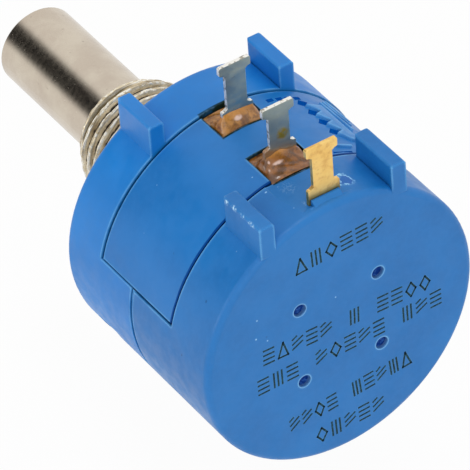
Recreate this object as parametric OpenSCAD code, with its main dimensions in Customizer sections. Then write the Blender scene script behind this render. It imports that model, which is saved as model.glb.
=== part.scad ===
// Ten-turn wirewound rotary potentiometer for panel mounting.
// The origin is the centre of the mounting face. The shaft points along -Y and the terminals along +Z.
// The modules are drawn with the axis along Z and the terminals along +Y, and placed() turns them.
// A depth is a distance behind the mounting face.

/* [Body] */
// Outer diameter of both covers
body_diameter = 22.22; // [21.6:0.02:24]
// Radius of the rounded edge round each end of the body
end_edge_radius = 0.5; // [0.2:0.05:0.8]
// Height of the mounting boss in front of the front rim
boss_height = 1.2; // [0.8:0.1:2]
// Diameter of the mounting boss
boss_diameter = 15.9; // [15:0.1:17]
// Thickness of the front wall behind the front rim
front_wall = 2; // [1.8:0.1:3]
// Thickness of the rear wall
rear_wall = 1.85; // [1.8:0.05:3]
// Thickness of the covers' skirts
skirt_wall = 1; // [0.8:0.05:1.1]
// Thickness of the element housing's barrel under the skirts
barrel_wall = 0.8; // [0.7:0.05:0.9]
// Radial play between the skirts and the barrel
skirt_clearance = 0.03; // [0.02:0.01:0.1]

/* [Seams] */
// Distance from the front rim to the seam in front of the top panel
panel_front = 4.35; // [4.2:0.05:4.8]
// Distance from the front rim to the seam round the underside
underside_seam = 8.2; // [7:0.1:10]
// Distance from the rear face to the seam behind the top panel
panel_rear = 4.7; // [4.2:0.05:4.9]
// Angle of the top panel either side of the terminals
panel_half_angle = 76; // [65:1:85]
// Depth of the panel's surface below the covers'
panel_step = 0.1; // [0:0.02:0.2]
// Width of the seams in front of and behind the panel
seam_gap = 0.2; // [0.1:0.02:0.3]
// Width of the seam along the panel's sides, beside the front cover
front_side_gap = 0.1; // [0.05:0.01:0.3]
// Width of the seam along the panel's sides, beside the rear cover
rear_side_gap = 0.24; // [0.05:0.01:0.3]
// Width of the seam round the underside
underside_gap = 0.05; // [0.02:0.01:0.2]
// Width of the step on the rear cover's edge at the underside seam
seam_step_width = 0.3; // [0.1:0.05:0.5]
// Depth of the step on the rear cover's edge
seam_step_depth = 0.12; // [0.05:0.01:0.3]

/* [Snap latches] */
// Angle of each latch from the terminals
latch_angle = 121; // [110:1:150]
// Width of a latch along the skirt
latch_width = 2.8; // [1.5:0.1:4]
// Length of a latch along the axis
latch_length = 2.2; // [1.5:0.1:3]
// Distance from the front rim to a latch
latch_setback = 2.15; // [2.15:0.05:4]
// Gap round a latch in its window
latch_gap = 0.12; // [0.05:0.01:0.14]
// Depth of a latch's rear edge below the skirt's surface
latch_step = 0.04; // [0.02:0.01:0.2]
// Fall of a latch's top towards the front wall
latch_ramp = 0.24; // [0.1:0.02:0.4]

/* [Guard ribs] */
// Distance between the middles of a pair of ribs
rib_spacing = 10.8; // [10:0.1:12]
// Width of a rib
rib_width = 1.2; // [1:0.05:1.5]
// Height of the ribs' tops above the covers' highest line
rib_rise = 0.76; // [0.4:0.01:1.4]
// Depth of the ribs' roots in the skirt
rib_sink = 0.8; // [0.3:0.05:0.9]
// Radius of the ribs' edges
rib_edge_radius = 0.18; // [0.05:0.01:0.3]
// Radius of the ribs' upright edges at the end towards the shaft
rib_end_radius = 0.42; // [0.1:0.02:0.48]

/* [Anti-turn lug] */
// Width of the lug on the mounting face
lug_width = 2; // [1:0.1:3]
// Thickness of the lug along the radius
lug_thickness = 1; // [0.8:0.1:1.5]
// Height of the lug above the mounting face
lug_height = 1; // [0.5:0.1:1.5]

/* [Windows] */
// Width of the windows
window_width = 3.7; // [3.2:0.1:4.4]
// Length of the front window behind its seam
front_window_length = 2.75; // [2.5:0.05:3]
// Length of the middle window in front of its seam
middle_window_length = 3.15; // [2.8:0.05:3.3]

/* [Rear terminal's pocket] */
// Width of the pocket
pocket_width = 5; // [4.4:0.1:6]
// Depth of the pocket's floor at the seam, below the cover's highest line
pocket_depth = 0.36; // [0.2:0.01:0.5]
// Depth of the pocket's floor at its end, below the cover's highest line
pocket_end_depth = 0.19; // [0.1:0.01:0.3]
// Distance from the rear face to the pocket's end
pocket_setback = 0.75; // [0.6:0.05:0.9]
// Radius of the corners at the pocket's end
pocket_corner_radius = 0.5; // [0.2:0.1:0.8]
// Width of the tongue that backs the rear terminal's foot
pocket_tongue_width = 2.3; // [1.8:0.1:2.5]
// Height of that tongue at the foot, above the cover's highest line
pocket_tongue_rise = 0.25; // [0.05:0.05:0.4]

/* [Rear face] */
// Distance between neighbouring dimples
dimple_spacing = 6.5; // [5.5:0.1:9]
// Diameter of a dimple
dimple_diameter = 1; // [0.6:0.1:1.4]
// Depth of a dimple
dimple_depth = 0.3; // [0.1:0.05:0.5]

/* [Potting] */
// Depth of the potting's surface below the panel's
potting_recess = 0.34; // [0.1:0.02:0.4]
// Height to which the potting climbs a terminal, above the panel
potting_climb = 0.8; // [0.3:0.05:0.9]
// Play round the potting, terminals and leads
potting_clearance = 0.02; // [0.01:0.01:0.04]

/* [Terminals] */
// Height of the terminals' tops above the covers' highest line
terminal_rise = 4.59; // [3.9:0.01:5.9]
// Extra height of the front terminal
front_terminal_rise = 0.35; // [0:0.05:0.5]
// Thickness of the terminals
terminal_thickness = 0.3; // [0.2:0.02:0.4]
// Width of a terminal's head and foot
terminal_width = 2.56; // [2.3:0.02:2.8]
// Width of a terminal's neck
terminal_neck_width = 1.66; // [1.3:0.02:1.9]
// Height of a terminal's head
terminal_head_height = 0.9; // [0.6:0.05:1.2]
// Height of a terminal's neck
terminal_neck_height = 2.5; // [2:0.05:2.9]
// Height of the sloping shoulders between a terminal's neck and its head and foot
terminal_flare = 0.3; // [0.2:0.02:0.4]
// Corner radius of a terminal's outline
terminal_corner_radius = 0.14; // [0.05:0.01:0.2]
// Distance from the front seam to the front terminal's middle
front_terminal_setback = 1.8; // [1.5:0.05:2]
// Distance from the rear seam to the middle terminal's middle
middle_terminal_setback = 1.75; // [1.5:0.05:2]
// Distance from the rear face to the rear terminal's middle
rear_terminal_setback = 1.2; // [1:0.05:1.25]
// Width of the rear terminal's stem in the rear wall
stem_width = 1.6; // [1.2:0.1:2]
// Height of the stem's lower end above the slip ring
stem_rise = 0.8; // [0.4:0.05:1.2]

/* [Bushing] */
// Outer diameter of the bushing's thread
thread_diameter = 9.525; // [9:0.005:10.5]
// Length of the bushing in front of the mounting face
bushing_length = 8.25; // [6:0.05:10]
// Length of the taper at the bushing's end
lead_in_length = 1.4; // [0.4:0.1:2]
// Depth of the taper at the bushing's end
lead_in_depth = 0.75; // [0.2:0.05:0.8]
// Chamfer at the mouth of the bushing's bore
mouth_chamfer = 0.2; // [0.1:0.05:0.3]
// Diameter of the bushing's collar in the front wall
collar_diameter = 11; // [10.6:0.1:11.8]
// Diameter of the bushing's inner flange
flange_diameter = 14; // [12:0.1:14.6]
// Thickness of the bushing's inner flange
flange_thickness = 1.3; // [1:0.05:1.6]
// Play round the bushing in the front wall
seat_clearance = 0.02; // [0.01:0.01:0.05]

/* [Shaft] */
// Diameter of the shaft
shaft_diameter = 6.35; // [6:0.01:7]
// Length of the shaft in front of the mounting face
shaft_length = 20.62; // [16:0.01:26]
// Chamfer on the shaft's tip
shaft_chamfer = 0.45; // [0.2:0.05:1]
// Radial running clearance of the shaft in the bushing
shaft_clearance = 0.025; // [0.015:0.005:0.06]
// Depth of the shaft's relief groove at the bushing's mouth
relief_depth = 0.25; // [0.2:0.05:0.5]
// Width of the relief groove
relief_width = 0.8; // [0.4:0.1:1.5]
// Length of the relief groove that stands out of the bushing
relief_lead = 0.15; // [0.1:0.05:0.4]
// Diameter of the shaft's seat in the rotor
rotor_seat_diameter = 4.8; // [4:0.1:5.2]
// Diameter of the pivot at the shaft's rear end
pivot_diameter = 2.4; // [2:0.1:3]
// Length of the pivot in the rear wall
pivot_length = 1.2; // [1:0.05:1.3]

/* [Retaining ring] */
// Outer diameter of the retaining ring
ring_diameter = 9; // [8.4:0.1:9.2]
// Thickness of the retaining ring
ring_thickness = 0.6; // [0.4:0.05:0.8]
// Opening between the retaining ring's ends
ring_mouth = 4; // [3:0.1:4.6]
// Diameter of the shaft's groove
groove_diameter = 5; // [4.8:0.1:5.4]
// Outer diameter of the thrust washer
washer_diameter = 9.4; // [8.6:0.1:9.4]
// Thickness of the thrust washer
washer_thickness = 0.28; // [0.2:0.02:0.4]
// Axial play at each face of the washer and the ring
end_play = 0.04; // [0.02:0.01:0.06]
// Width of the land behind the groove
land_width = 0.4; // [0.3:0.05:0.6]

/* [Resistance element] */
// Number of turns
element_turns = 10; // [3:1:12]
// Distance between neighbouring turns
element_pitch = 1; // [0.9:0.01:1.1]
// Diameter of the wound element
element_diameter = 0.6; // [0.5:0.02:0.64]
// Play between the element and the barrel
element_clearance = 0.02; // [0.01:0.01:0.1]
// Diameter of the element's leads
lead_diameter = 0.24; // [0.16:0.02:0.3]

/* [Rotor and carriage] */
// Play between the rotor's ends and the resistance element's inside
rotor_running_gap = 0.45; // [0.3:0.05:0.6]
// Depth of the rotor's waist below its ends
rotor_waist = 0.61; // [0.4:0.01:0.9]
// Thickness of the webs that stop the carriage
rotor_web = 0.8; // [0.6:0.05:1]
// Axial play at each end of the rotor
rotor_end_play = 0.2; // [0.15:0.01:0.3]
// Diameter of the recess for the retaining ring
rotor_recess_diameter = 9.6; // [9.5:0.1:9.8]
// Share of the waist's radius that lies below the slot's floor
slot_floor_share = 0.7; // [0.68:0.01:0.72]
// Length of the carriage along the axis
carriage_length = 1.8; // [1.6:0.05:2.4]
// Width of the carriage
carriage_width = 3.1; // [2.6:0.05:3.3]
// Room between the carriage and the resistance element's inside
carriage_room = 0.76; // [0.7:0.02:0.9]
// Width of the tongues on the carriage's sides
tongue_width = 0.35; // [0.2:0.05:0.5]
// Height of the tongues
tongue_height = 0.6; // [0.4:0.05:0.8]
// Height of the tongues' undersides above the slot's floor
tongue_rise = 0.9; // [0.8:0.05:1.1]
// Play between the carriage and the rotor
carriage_clearance = 0.05; // [0.03:0.01:0.1]
// Play between the carriage and the webs at the end of its travel
stop_clearance = 0.1; // [0.05:0.01:0.2]

/* [Contacts] */
// Play between a sliding contact and its track
contact_clearance = 0.04; // [0.03:0.01:0.06]
// Width of the wiper contact across the element
contact_width = 0.9; // [0.6:0.05:1]
// Length of the wiper contact's shoe along the axis
contact_shoe_length = 1; // [0.9:0.02:1.05]
// Height to which the shoe's horns reach beside the element, above its inside
shoe_reach = 0.2; // [0.1:0.02:0.24]
// Thickness of the wiper contact's plate
contact_plate_thickness = 0.25; // [0.2:0.01:0.3]
// Width of the collector strip
strip_width = 1.2; // [0.8:0.05:1.6]
// Thickness of the collector strip
strip_thickness = 0.15; // [0.1:0.01:0.2]
// Height of the carriage's underside above the collector strip
strip_room = 0.4; // [0.3:0.02:0.5]
// Wall between the shaft's seat and the slip ring
slip_ring_wall = 0.6; // [0.4:0.05:0.8]
// Width of the slip ring along the radius
slip_ring_width = 0.9; // [0.7:0.05:1]
// Thickness of the slip ring
slip_ring_thickness = 0.3; // [0.2:0.02:0.4]
// Width of the brushes
brush_width = 0.8; // [0.5:0.05:1]
// Thickness of the brushes
brush_thickness = 0.14; // [0.1:0.01:0.2]
// Length of the collector brush's bent tip
brush_bend = 0.35; // [0.2:0.05:0.5]
// Length of the carriage brush's flat foot
brush_foot = 0.5; // [0.3:0.05:0.8]

/* [Hidden] */

$fn = 96;

// Colours
cover_blue = [0.16, 0.47, 0.77];
nickel = [0.80, 0.77, 0.71];
tin = [0.68, 0.69, 0.70];
gold = [0.90, 0.72, 0.40];
amber = [0.60, 0.38, 0.14];
copper = [0.72, 0.45, 0.27];
dark_plastic = [0.20, 0.19, 0.18];
spring_bronze = [0.76, 0.60, 0.36];
spring_steel = [0.55, 0.56, 0.58];

// Cutting margin that carries a cut past the faces it opens
past = 0.5;

// Radii from the outside inwards
body_radius = body_diameter / 2;
skirt_inner = body_radius - skirt_wall;
barrel_outer = skirt_inner - skirt_clearance;
barrel_inner = barrel_outer - barrel_wall;
panel_radius = body_radius - panel_step;
potting_radius = panel_radius - potting_recess;
potting_crest = panel_radius + potting_climb;
slope_foot = potting_radius - potting_recess;
element_radius = element_diameter / 2;
element_centre = barrel_inner - element_clearance - element_radius;
element_inside = element_centre - element_radius;
rotor_flange_radius = element_inside - rotor_running_gap;
rotor_radius = rotor_flange_radius - rotor_waist;
shaft_radius = shaft_diameter / 2;
bushing_bore = shaft_radius + shaft_clearance;
rotor_seat_radius = rotor_seat_diameter / 2;
slot_floor = slot_floor_share * rotor_radius;
slip_ring_inner = rotor_seat_radius + slip_ring_wall;
slip_ring_outer = slip_ring_inner + slip_ring_width;

// Heights over the axis
rib_top = body_radius + rib_rise;
terminal_top = body_radius + terminal_rise;
stem_end = slip_ring_outer + stem_rise;
carriage_top = element_inside - carriage_room;

// Depths of the rotor and the element, from the front wall rearwards
travel = element_turns * element_pitch;
slot_length = travel + carriage_length + 2 * stop_clearance;
rotor_length = slot_length + 2 * rotor_web;
cavity_front = boss_height + front_wall;
rotor_front = cavity_front + rotor_end_play;
slot_front = rotor_front + rotor_web;
slot_rear = slot_front + slot_length;
rotor_rear = rotor_front + rotor_length;
cavity_rear = rotor_rear + rotor_end_play;
body_depth = cavity_rear + rear_wall;
carriage_depth = (slot_front + slot_rear) / 2;
element_front = carriage_depth - travel / 2;
element_rear = carriage_depth + travel / 2;

// Depths of the seams and windows
front_seam = boss_height + panel_front;
rear_seam = body_depth - panel_rear;
under_seam = boss_height + underside_seam;
rear_cover_front = under_seam + underside_gap;
front_window_end = front_seam + front_window_length;
middle_window_start = rear_seam - middle_window_length;

// Terminals
front_terminal_depth = front_seam + front_terminal_setback;
middle_terminal_depth = rear_seam - middle_terminal_setback;
rear_terminal_depth = body_depth - rear_terminal_setback;
pocket_end = body_depth - pocket_setback;
terminal_root = barrel_outer - skirt_clearance;
foot_top = terminal_top - terminal_head_height - terminal_neck_height;

// Retaining ring and washer
washer_front = cavity_front + end_play;
groove_front = washer_front + washer_thickness + end_play;
ring_front = groove_front + end_play;
groove_rear = ring_front + ring_thickness + end_play;
land_rear = groove_rear + land_width;

// Relief groove at the bushing's mouth
relief_front = -bushing_length - relief_lead;
relief_rear = relief_front + relief_width;

// Leads
lead_radius = lead_diameter / 2;
lead_offset = 0.4;
lead_rise = 0.55;
lead_clear_height = barrel_inner + 2 * lead_diameter;
lead_end_height = terminal_root + 2 * lead_diameter;
lead_room = 0.45;

// Contacts and brushes
slip_ring_front = rotor_rear - slip_ring_thickness;
slip_ring_middle = (slip_ring_inner + slip_ring_outer) / 2;
strip_top = slot_floor + strip_thickness;
carriage_bottom = strip_top + strip_room;
notch_reach = element_radius + contact_clearance;
notch_bottom = element_centre - notch_reach * sqrt(2);
shoe_top = element_inside + shoe_reach;
brush_pocket_width = stem_width - 2 * terminal_corner_radius;
brush_top = stem_end + brush_width;

// Faces of the element, the leads and the potting's slopes
element_steps = 48;
element_sides = 6;
element_start_angle = 90;
wire_sides = 8;
slope_steps = 6;

// Turns the drawing into the part's own frame
module placed() {
    rotate([90, 0, 0]) children();
}

// Solid of revolution between two depths
module disc(front, rear, radius) {
    translate([0, 0, -rear]) cylinder(h = rear - front, r = radius);
}

module tube(front, rear, outer, inner) {
    difference() {
        disc(front, rear, outer);
        disc(front - past, rear + past, inner);
    }
}

// Flat-sided block between two depths and two heights, centred across the axis
module block(width, bottom, top, front, rear) {
    translate([-width / 2, bottom, -rear]) cube([width, top - bottom, rear - front]);
}

// Wedge round the terminals' side of the axis, widened on each side by a parallel margin
module top_sector(front, rear, margin) {
    reach = 2 * body_radius;
    side = reach * sin(panel_half_angle);
    translate([0, -margin / sin(panel_half_angle), -rear])
        linear_extrude(rear - front)
            polygon([
                [0, 0], [side, reach * cos(panel_half_angle)], [side, reach],
                [-side, reach], [-side, reach * cos(panel_half_angle)]
            ]);
}

// Half outline of a disc whose far edge is rounded
module rounded_end_profile(radius, length, edge) {
    square([radius, length - edge]);
    square([radius - edge, length]);
    translate([radius - edge, length - edge]) circle(edge);
}

module rounded_rectangle(width, height, radius) {
    translate([-width / 2 + radius, 0]) square([width - 2 * radius, height]);
    translate([-width / 2, radius]) square([width, height - 2 * radius]);
    for (x = [-1, 1], y = [radius, height - radius])
        translate([x * (width / 2 - radius), y]) circle(radius);
}

// Faces that close a row of rings, each with the same number of corners
function swept_faces(steps, sides) = [
    for (corner = [1 : sides - 2]) [0, corner, corner + 1],
    for (step = [0 : steps - 1], corner = [0 : sides - 1])
        let (
            next = (corner + 1) % sides,
            here = step * sides,
            ahead = here + sides
        )
        each [[here + corner, ahead + corner, ahead + next], [here + corner, ahead + next, here + next]],
    for (corner = [1 : sides - 2])
        let (last = steps * sides)
        [last, last + corner + 1, last + corner]
];

function unit(vector) = vector / norm(vector);

// Direction of a path at one of its points
function path_direction(path, i) =
    unit(path[min(i + 1, len(path) - 1)] - path[max(i - 1, 0)]);

// Wire along a path that never runs straight across the part
module wire(path, radius) {
    points = [
        for (i = [0 : len(path) - 1])
            let (
                along = path_direction(path, i),
                up = unit(cross(along, [1, 0, 0])),
                across = cross(up, along)
            )
            for (corner = [0 : wire_sides - 1])
                let (angle = 360 * corner / wire_sides)
                path[i] + radius * (up * cos(angle) + across * sin(angle))
    ];
    polyhedron(points, swept_faces(len(path) - 1, wire_sides));
}

// Round channel that a wire lies in, made of straight lengths that run on past the bends
module wire_channel(path, radius) {
    for (i = [0 : len(path) - 2]) {
        run = path[i + 1] - path[i];
        translate(path[i])
            rotate([0, acos(run[2] / norm(run)), atan2(run[1], run[0])])
                translate([0, 0, -radius]) cylinder(h = norm(run) + 2 * radius, r = radius);
    }
}

// Guard ribs of one cover, between two depths
module ribs(front, rear) {
    rib_inner = (rib_spacing - rib_width) / 2;
    rib_root = sqrt(pow(body_radius - rib_sink, 2) - pow(rib_inner, 2));
    rib_height = rib_top - rib_root;
    rib_length = rear - front;
    for (x = [-rib_spacing / 2, rib_spacing / 2])
        translate([x, rib_root, -rear])
            intersection() {
                linear_extrude(rib_length) rounded_rectangle(rib_width, rib_height, rib_edge_radius);
                rotate([90, 0, 90])
                    translate([rib_height / 2, 0, -rib_width])
                        linear_extrude(2 * rib_width)
                            rounded_rectangle(rib_height, rib_length, rib_edge_radius);
                translate([0, rib_height + past, 0])
                    rotate([90, 0, 0])
                        linear_extrude(rib_height + 2 * past) {
                            rounded_rectangle(rib_width, rib_length, rib_end_radius);
                            translate([-rib_width / 2, 0]) square([rib_width, rib_length / 2]);
                        }
            }
}

// Blocks of the snap latches, whose tops fall by a ramp to the front, or their windows, grown by a margin
module latches(inner, outer, ramp, margin) {
    front = boss_height + latch_setback - margin;
    rear = boss_height + latch_setback + latch_length + margin;
    for (side = [-1, 1])
        rotate([0, 0, side * latch_angle])
            intersection() {
                difference() {
                    translate([0, 0, -rear]) cylinder(h = rear - front, r1 = outer, r2 = outer - ramp);
                    disc(front - past, rear + past, inner);
                }
                block(latch_width + 2 * margin, 0, 2 * body_radius, front - past, rear + past);
            }
}

module front_cover() {
    color(cover_blue) placed() {
        difference() {
            union() {
                translate([0, 0, -under_seam])
                    rotate_extrude()
                        rounded_end_profile(body_radius, under_seam - boss_height, end_edge_radius);
                disc(0, boss_height + past, boss_diameter / 2);
                ribs(boss_height, front_seam - seam_gap / 2);
            }
            disc(cavity_front, under_seam + past, skirt_inner);
            top_sector(front_seam - seam_gap / 2, under_seam + past, front_side_gap / 2);
            disc(-past, cavity_front + past, collar_diameter / 2 + seat_clearance);
            disc(cavity_front - flange_thickness, cavity_front + past,
                flange_diameter / 2 + seat_clearance);
            latches(skirt_inner - skirt_clearance, body_radius + past, 0, latch_gap);
        }
        anti_turn_lug();
    }
}

// Lug that keeps the body from turning in the panel, at the boss's edge
module anti_turn_lug() {
    translate([0, -boss_diameter / 2, -boss_height - past])
        linear_extrude(lug_height + boss_height + past)
            rounded_rectangle(lug_width, lug_thickness, rib_edge_radius);
}

module rear_cover() {
    color(cover_blue) placed()
        difference() {
            union() {
                mirror([0, 0, 1])
                    translate([0, 0, rear_cover_front])
                        rotate_extrude()
                            rounded_end_profile(
                                body_radius, body_depth - rear_cover_front, end_edge_radius);
                ribs(rear_seam + seam_gap / 2, body_depth);
                tongue_ramp();
            }
            disc(under_seam - past, cavity_rear, skirt_inner);
            top_sector(under_seam - past, rear_seam + seam_gap / 2, rear_side_gap / 2);
            tube(rear_cover_front - past, rear_cover_front + seam_step_width,
                body_radius + past, body_radius - seam_step_depth);
            pocket();
            terminal_slot();
            block(brush_pocket_width, slip_ring_inner - brush_bend, brush_top + brush_bend,
                cavity_rear - past, rear_terminal_depth - terminal_thickness / 2);
            disc(cavity_rear - past, cavity_rear + pivot_length + end_play,
                pivot_diameter / 2 + shaft_clearance);
            dimples();
        }
}

// Shallow pocket whose floor falls towards the seam, less the tongue behind the terminal's foot
module pocket() {
    length = pocket_end - rear_seam + past;
    difference() {
        intersection() {
            rotate([0, -90, 0])
                translate([0, 0, -pocket_width / 2])
                    linear_extrude(pocket_width)
                        polygon([
                            [past - rear_seam, body_radius - pocket_depth],
                            [-pocket_end, body_radius - pocket_end_depth],
                            [-pocket_end, 2 * body_radius], [past - rear_seam, 2 * body_radius]
                        ]);
            translate([0, 2 * body_radius, -pocket_end])
                rotate([90, 0, 0])
                    linear_extrude(2 * body_radius)
                        rounded_rectangle(
                            pocket_width, length + pocket_corner_radius, pocket_corner_radius);
        }
        block(pocket_tongue_width, 0, 3 * body_radius, rear_terminal_depth, pocket_end + past);
    }
}

// Raised top of the tongue, which falls from the terminal's foot to the rear face's edge
module tongue_ramp() {
    ramp_foot = sqrt(pow(body_radius, 2) - pow(pocket_tongue_width / 2, 2));
    rotate([0, -90, 0])
        translate([0, 0, -pocket_tongue_width / 2])
            linear_extrude(pocket_tongue_width)
                polygon([
                    [-rear_terminal_depth, body_radius - pocket_depth],
                    [-rear_terminal_depth, body_radius + pocket_tongue_rise],
                    [-rear_terminal_depth - terminal_thickness, body_radius + pocket_tongue_rise],
                    [end_edge_radius - body_depth, ramp_foot],
                    [end_edge_radius - body_depth, body_radius - pocket_depth]
                ]);
}

module dimples() {
    for (x = [-1, 1], y = [-1, 1])
        translate([x * dimple_spacing / 2, y * dimple_spacing / 2, 0])
            disc(body_depth - dimple_depth, body_depth + past, dimple_diameter / 2);
}

// Slot that holds the rear terminal in the rear wall
module terminal_slot() {
    play = potting_clearance;
    front = rear_terminal_depth - terminal_thickness / 2 - play;
    rear = rear_terminal_depth + terminal_thickness / 2 + play;
    block(terminal_width + 2 * play, terminal_root - play, 2 * body_radius, front, rear);
    block(stem_width + 2 * play, stem_end - play, terminal_root + play, front, rear);
}

module element_housing() {
    color(cover_blue) placed() {
        difference() {
            union() {
                disc(cavity_front, cavity_rear, barrel_outer);
                intersection() {
                    disc(front_seam + seam_gap / 2, rear_seam - seam_gap / 2, panel_radius);
                    top_sector(front_seam, rear_seam, -front_side_gap / 2);
                }
            }
            disc(cavity_front - past, cavity_rear + past, barrel_inner);
            block(window_width, 0, 2 * body_radius, front_seam, front_window_end);
            block(window_width, 0, 2 * body_radius, middle_window_start, rear_seam);
            block(window_width, 0, 2 * body_radius, element_front - lead_room, front_window_end);
            block(window_width, 0, 2 * body_radius, middle_window_start, element_rear + lead_room);
        }
        latches(barrel_outer - barrel_wall / 2, body_radius - latch_step, latch_ramp, 0);
    }
}

// Bushing of nickel-plated brass, drawn at the thread's outer diameter
module threaded_bushing() {
    color(nickel) placed()
        difference() {
            union() {
                disc(-bushing_length + lead_in_length, 0, thread_diameter / 2);
                disc(0, cavity_front, collar_diameter / 2);
                translate([0, 0, bushing_length - lead_in_length])
                    cylinder(h = lead_in_length, r1 = thread_diameter / 2,
                        r2 = thread_diameter / 2 - lead_in_depth);
                disc(cavity_front - flange_thickness, cavity_front, flange_diameter / 2);
            }
            disc(-bushing_length - past, cavity_front + past, bushing_bore);
            translate([0, 0, bushing_length - mouth_chamfer])
                cylinder(h = 2 * mouth_chamfer, r1 = bushing_bore, r2 = bushing_bore + 2 * mouth_chamfer);
        }
}

// Point of the element's surface: a step along the helix and a corner of its round section
function element_point(step, corner) =
    let (
        turn = step / element_steps,
        angle = element_start_angle + 360 * turn,
        section = 360 * corner / element_sides,
        radius = element_centre + element_radius * cos(section)
    )
    [
        radius * cos(angle),
        radius * sin(angle),
        -element_rear + element_pitch * turn + element_radius * sin(section)
    ];

// Wound element, bent into a right-handed helix that rises towards the shaft
module resistance_element() {
    steps = element_turns * element_steps;
    points = [for (step = [0 : steps], corner = [0 : element_sides - 1]) element_point(step, corner)];
    color(copper) placed() polyhedron(points, swept_faces(steps, element_sides));
}

// Outline of a terminal: head, neck and foot
module terminal_outline(top) {
    head_bottom = top - terminal_head_height;
    translate([0, head_bottom]) terminal_end(terminal_head_height);
    translate([-terminal_neck_width / 2, foot_top - terminal_corner_radius])
        square([terminal_neck_width, head_bottom - foot_top + 2 * terminal_corner_radius]);
    translate([0, foot_top]) mirror([0, 1]) terminal_end(foot_top - terminal_root);
}

// Head of a terminal, whose shoulders slope from the neck to the full width
module terminal_end(height) {
    straight = terminal_flare - terminal_corner_radius;
    translate([0, straight])
        rounded_rectangle(terminal_width, height - straight, terminal_corner_radius);
    polygon([
        [-terminal_neck_width / 2, 0], [terminal_neck_width / 2, 0],
        [terminal_width / 2, terminal_flare], [-terminal_width / 2, terminal_flare]
    ]);
}

module terminal_plate(depth) {
    translate([0, 0, -depth - terminal_thickness / 2]) linear_extrude(terminal_thickness) children();
}

module front_terminal() {
    color(tin) placed()
        terminal_plate(front_terminal_depth) terminal_outline(terminal_top + front_terminal_rise);
}

module middle_terminal() {
    color(tin) placed() terminal_plate(middle_terminal_depth) terminal_outline(terminal_top);
}

module rear_terminal() {
    color(gold) placed()
        terminal_plate(rear_terminal_depth) {
            terminal_outline(terminal_top);
            translate([-stem_width / 2, stem_end])
                square([stem_width, terminal_root - stem_end + terminal_corner_radius]);
        }
}

// Potting that fills a window: the part in the barrel, the part in the panel and the slope up the terminal
module potting_body(window_front, window_rear, under_front, under_rear, terminal_depth) {
    width = window_width - 2 * potting_clearance;
    intersection() {
        block(width, 0, 2 * body_radius, under_front, under_rear);
        tube(under_front - past, under_rear + past, barrel_outer, barrel_inner + potting_clearance);
    }
    intersection() {
        block(width, 0, 2 * body_radius, window_front, window_rear);
        tube(window_front - past, window_rear + past, potting_radius, barrel_inner + potting_clearance);
    }
    rotate([0, -90, 0])
        translate([0, 0, -terminal_width / 2])
            linear_extrude(terminal_width)
                polygon([
                    [-window_front, terminal_root], [-window_rear, terminal_root],
                    for (step = [0 : slope_steps])
                        slope_point(window_rear, terminal_depth + terminal_thickness, step / slope_steps),
                    for (step = [slope_steps : -1 : 0])
                        slope_point(window_front, terminal_depth - terminal_thickness, step / slope_steps)
                ]);
}

// Point of the hollow slope that rises from a window's edge to a terminal's face
function slope_point(edge, face, share) =
    [-edge - share * (face - edge), slope_foot + (potting_crest - slope_foot) * pow(share, 2)];

module terminal_cut(depth, top) {
    play = potting_clearance;
    translate([0, 0, -depth - terminal_thickness / 2 - play])
        linear_extrude(terminal_thickness + 2 * play) {
            translate([-terminal_width / 2 - play, terminal_root - play])
                square([terminal_width + 2 * play, foot_top - terminal_root + 2 * play]);
            translate([-terminal_neck_width / 2 - play, foot_top])
                square([terminal_neck_width + 2 * play, top - foot_top]);
        }
}

module front_potting() {
    color(amber) placed()
        difference() {
            potting_body(
                front_seam + potting_clearance, front_window_end - potting_clearance,
                element_front - lead_room + potting_clearance, front_window_end - potting_clearance,
                front_terminal_depth);
            terminal_cut(front_terminal_depth, terminal_top);
            wire_channel(front_lead_path(), lead_radius + potting_clearance);
        }
}

module middle_potting() {
    color(amber) placed()
        difference() {
            potting_body(
                middle_window_start + potting_clearance, rear_seam - potting_clearance,
                middle_window_start + potting_clearance, element_rear + lead_room - potting_clearance,
                middle_terminal_depth);
            terminal_cut(middle_terminal_depth, terminal_top);
            wire_channel(rear_lead_path(), lead_radius + potting_clearance);
        }
}

// Leads from the element's ends, out through the windows, to the terminals' feet
function lead_path(element_depth, terminal_face, side) = [
    [side * lead_radius / 2, element_centre, -element_depth],
    [side * lead_offset, element_centre + lead_rise, -element_depth],
    [side * lead_offset, lead_clear_height, -element_depth + lead_offset * side],
    [side * lead_offset, lead_end_height, -terminal_face]
];

function front_lead_path() =
    lead_path(element_front, front_terminal_depth - terminal_thickness / 2 - potting_clearance, -1);

function rear_lead_path() =
    lead_path(element_rear, middle_terminal_depth + terminal_thickness / 2 + potting_clearance, 1);

module front_element_lead() {
    color(tin) placed() wire(front_lead_path(), lead_radius);
}

module rear_element_lead() {
    color(tin) placed() wire(rear_lead_path(), lead_radius);
}

// Shaft with its retaining groove, rotor seat and rear pivot
module shaft() {
    color(nickel) placed() {
        translate([0, 0, shaft_length - shaft_chamfer])
            cylinder(h = shaft_chamfer, r1 = shaft_radius, r2 = shaft_radius - shaft_chamfer);
        disc(-shaft_length + shaft_chamfer, relief_front, shaft_radius);
        disc(relief_front, relief_rear, shaft_radius - relief_depth);
        disc(relief_rear, groove_front, shaft_radius);
        disc(groove_front, groove_rear, groove_diameter / 2);
        disc(groove_rear, land_rear, shaft_radius);
        disc(land_rear, rotor_rear, rotor_seat_radius);
        disc(rotor_rear, cavity_rear + pivot_length, pivot_diameter / 2);
    }
}

// Split ring that snaps into the shaft's groove
module retaining_ring() {
    color(spring_steel) placed()
        difference() {
            tube(ring_front, ring_front + ring_thickness, ring_diameter / 2,
                groove_diameter / 2 + seat_clearance);
            translate([0, -body_radius, 0])
                block(ring_mouth, 0, body_radius, ring_front - past, ring_front + ring_thickness + past);
        }
}

module thrust_washer() {
    color(spring_bronze) placed()
        tube(washer_front, washer_front + washer_thickness, washer_diameter / 2, bushing_bore);
}

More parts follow.
